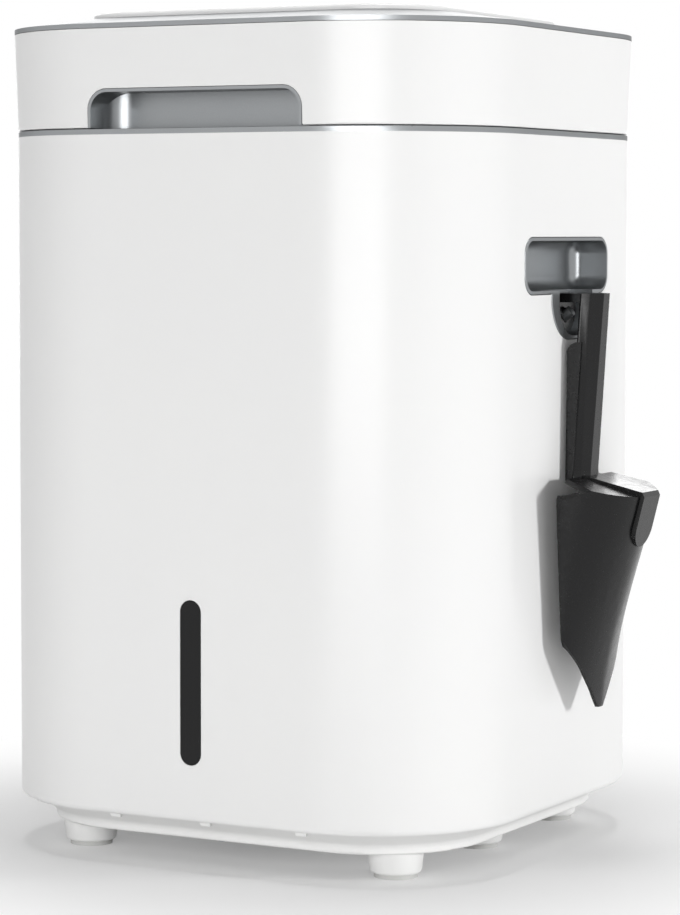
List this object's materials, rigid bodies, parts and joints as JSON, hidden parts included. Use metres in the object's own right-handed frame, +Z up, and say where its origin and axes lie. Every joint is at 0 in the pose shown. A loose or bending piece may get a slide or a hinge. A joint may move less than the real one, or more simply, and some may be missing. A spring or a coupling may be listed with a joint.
{
  "type": "electric food waste composter",
  "caption": "Upright electric food waste composter with a mixing tub, geared paddles, filter drawer, hinged lid and a scoop hung on its side.",
  "frame": {"origin": "on the floor, at the centre of the rectangle of the four corner foot pads", "axes": "+Z up, -Y towards the front with the sensor window, +X towards the side that carries the scoop"},
  "size_m": [0.3558, 0.3225, 0.4736],
  "materials": {
    "white_gloss": "glossy moulded white",
    "white_moulded": "satin moulded white",
    "silver_trim": "satin silver paint on moulded plastic",
    "smoked_window": "glossy dark smoked window",
    "black_scoop": "semi-gloss moulded black",
    "black_panel": "glossy black panel",
    "button": "satin silver-grey caps",
    "pad_rubber": "grey rubber",
    "gasket": "grey silicone rubber",
    "seal": "black nitrile rubber",
    "heater": "red silicone heater mat",
    "tub_coated": "dark non-stick coating on cast aluminium",
    "paddle_steel": "satin stainless steel",
    "shaft_steel": "ground steel",
    "bush_bronze": "sintered bronze",
    "housing_cast": "as-cast aluminium",
    "gear_nylon": "natural nylon",
    "plate_zinc": "zinc-plated sheet",
    "motor_can": "black painted can",
    "grey_moulded": "grey moulded plastic",
    "black_moulded": "black moulded plastic",
    "carbon": "porous activated carbon",
    "mesh_steel": "perforated stainless sheet",
    "circuit_board": "green lacquered circuit board",
    "supply_case": "folded aluminium case",
    "liner_grey": "light grey moulded plastic",
    "arm_white": "white powder coat",
    "screw_zinc": "zinc plated"
  },
  "bodies": {
    "cabinet": {"feet": "white_moulded", "foot_pads": "pad_rubber", "base_pan": "white_moulded", "pan_screws": "screw_zinc", "body_shell": "white_gloss", "rear_cover": "white_moulded", "cover_screws": "screw_zinc", "seam_trim": "silver_trim", "top_deck": "grey_moulded", "sensor_window": "smoked_window", "sensor_board": "circuit_board", "grip_right": "silver_trim", "grip_left": "silver_trim", "tub": "tub_coated", "heater_pad": "heater", "gear_plate": "plate_zinc", "idler_axle": "shaft_steel", "gearbox": "housing_cast", "mixing_motor": "motor_can", "filter_bay": "grey_moulded", "fan_housing": "black_moulded", "exhaust_duct": "grey_moulded", "main_board": "circuit_board", "power_supply": "supply_case", "mains_inlet": "black_moulded", "switch_housing": "black_moulded", "hinge_housing": "white_gloss", "lid_drive": "shaft_steel", "bearing_housing_left": "housing_cast", "bearing_housing_right": "housing_cast", "bearing_left": "bush_bronze", "bearing_right": "bush_bronze", "shaft_seal_left": "seal", "shaft_seal_right": "seal"},
    "mixer": {"mixing_shaft": "shaft_steel", "paddle_left": "paddle_steel", "paddle_centre": "paddle_steel", "paddle_right": "paddle_steel", "drive_gear": "gear_nylon"},
    "idler": {"idler_gear": "gear_nylon"},
    "pinion": {"motor_pinion": "shaft_steel"},
    "fan": {"fan_rotor": "black_moulded"},
    "drawer": {"filter_drawer": "white_moulded", "carbon_filter": "carbon", "mesh_filter": "mesh_steel"},
    "lid": {"lid_shell": "white_gloss", "lid_trim": "silver_trim", "top_plate": "white_gloss", "control_panel": "black_panel", "panel_board": "circuit_board", "lid_grip": "silver_trim", "lid_liner": "liner_grey", "lid_gasket": "gasket", "lid_arm_left": "arm_white", "lid_arm_right": "arm_white"},
    "button_power": {"button_power": "button"},
    "button_mode": {"button_mode": "button"},
    "button_lid": {"button_lid": "button"},
    "rocker": {"rocker": "black_moulded"},
    "scoop": {"scoop": "black_scoop"}
  },
  "joints": [
    {"name": "mixer_spin", "type": "hinge", "parent": "cabinet", "child": "mixer", "pos_m": [0, 0, 0.205], "axis": [1, 0, 0], "continuous": true},
    {"name": "idler_spin", "type": "hinge", "parent": "cabinet", "child": "idler", "pos_m": [-0.136, -0.02829, 0.10388], "axis": [1, 0, 0], "continuous": true},
    {"name": "pinion_spin", "type": "hinge", "parent": "cabinet", "child": "pinion", "pos_m": [-0.136, -0.078, 0.062], "axis": [1, 0, 0], "continuous": true},
    {"name": "fan_spin", "type": "hinge", "parent": "cabinet", "child": "fan", "pos_m": [0, 0.112, 0.12], "axis": [0, 0, 1], "continuous": true},
    {"name": "drawer_slide", "type": "slide", "parent": "cabinet", "child": "drawer", "axis": [0, 1, 0], "range_m": [0, 0.1]},
    {"name": "lid_hinge", "type": "hinge", "parent": "cabinet", "child": "lid", "pos_m": [0, 0.1605, 0.405], "axis": [-1, 0, 0], "range_deg": [0, 85]},
    {"name": "button_power_press", "type": "slide", "parent": "lid", "child": "button_power", "axis": [0, 0, -1], "range_m": [0, 0.0012], "stiffness_N_per_m": 400, "springref_m": -0.0005},
    {"name": "button_mode_press", "type": "slide", "parent": "lid", "child": "button_mode", "axis": [0, 0, -1], "range_m": [0, 0.0012], "stiffness_N_per_m": 400, "springref_m": -0.0005},
    {"name": "button_lid_press", "type": "slide", "parent": "lid", "child": "button_lid", "axis": [0, 0, -1], "range_m": [0, 0.0012], "stiffness_N_per_m": 400, "springref_m": -0.0005},
    {"name": "rocker_tilt", "type": "hinge", "parent": "cabinet", "child": "rocker", "pos_m": [0.044, 0.1475, 0.146], "axis": [-1, 0, 0], "range_deg": [0, 16]},
    {"name": "scoop_lift", "type": "slide", "parent": "cabinet", "child": "scoop", "axis": [0.7986, 0, 0.6018], "range_m": [0, 0.1]}
  ],
  "couplings": [
    {"joint": "idler_spin", "follows": "mixer_spin", "ratio": -1.3333},
    {"joint": "pinion_spin", "follows": "mixer_spin", "ratio": 3}
  ]
}
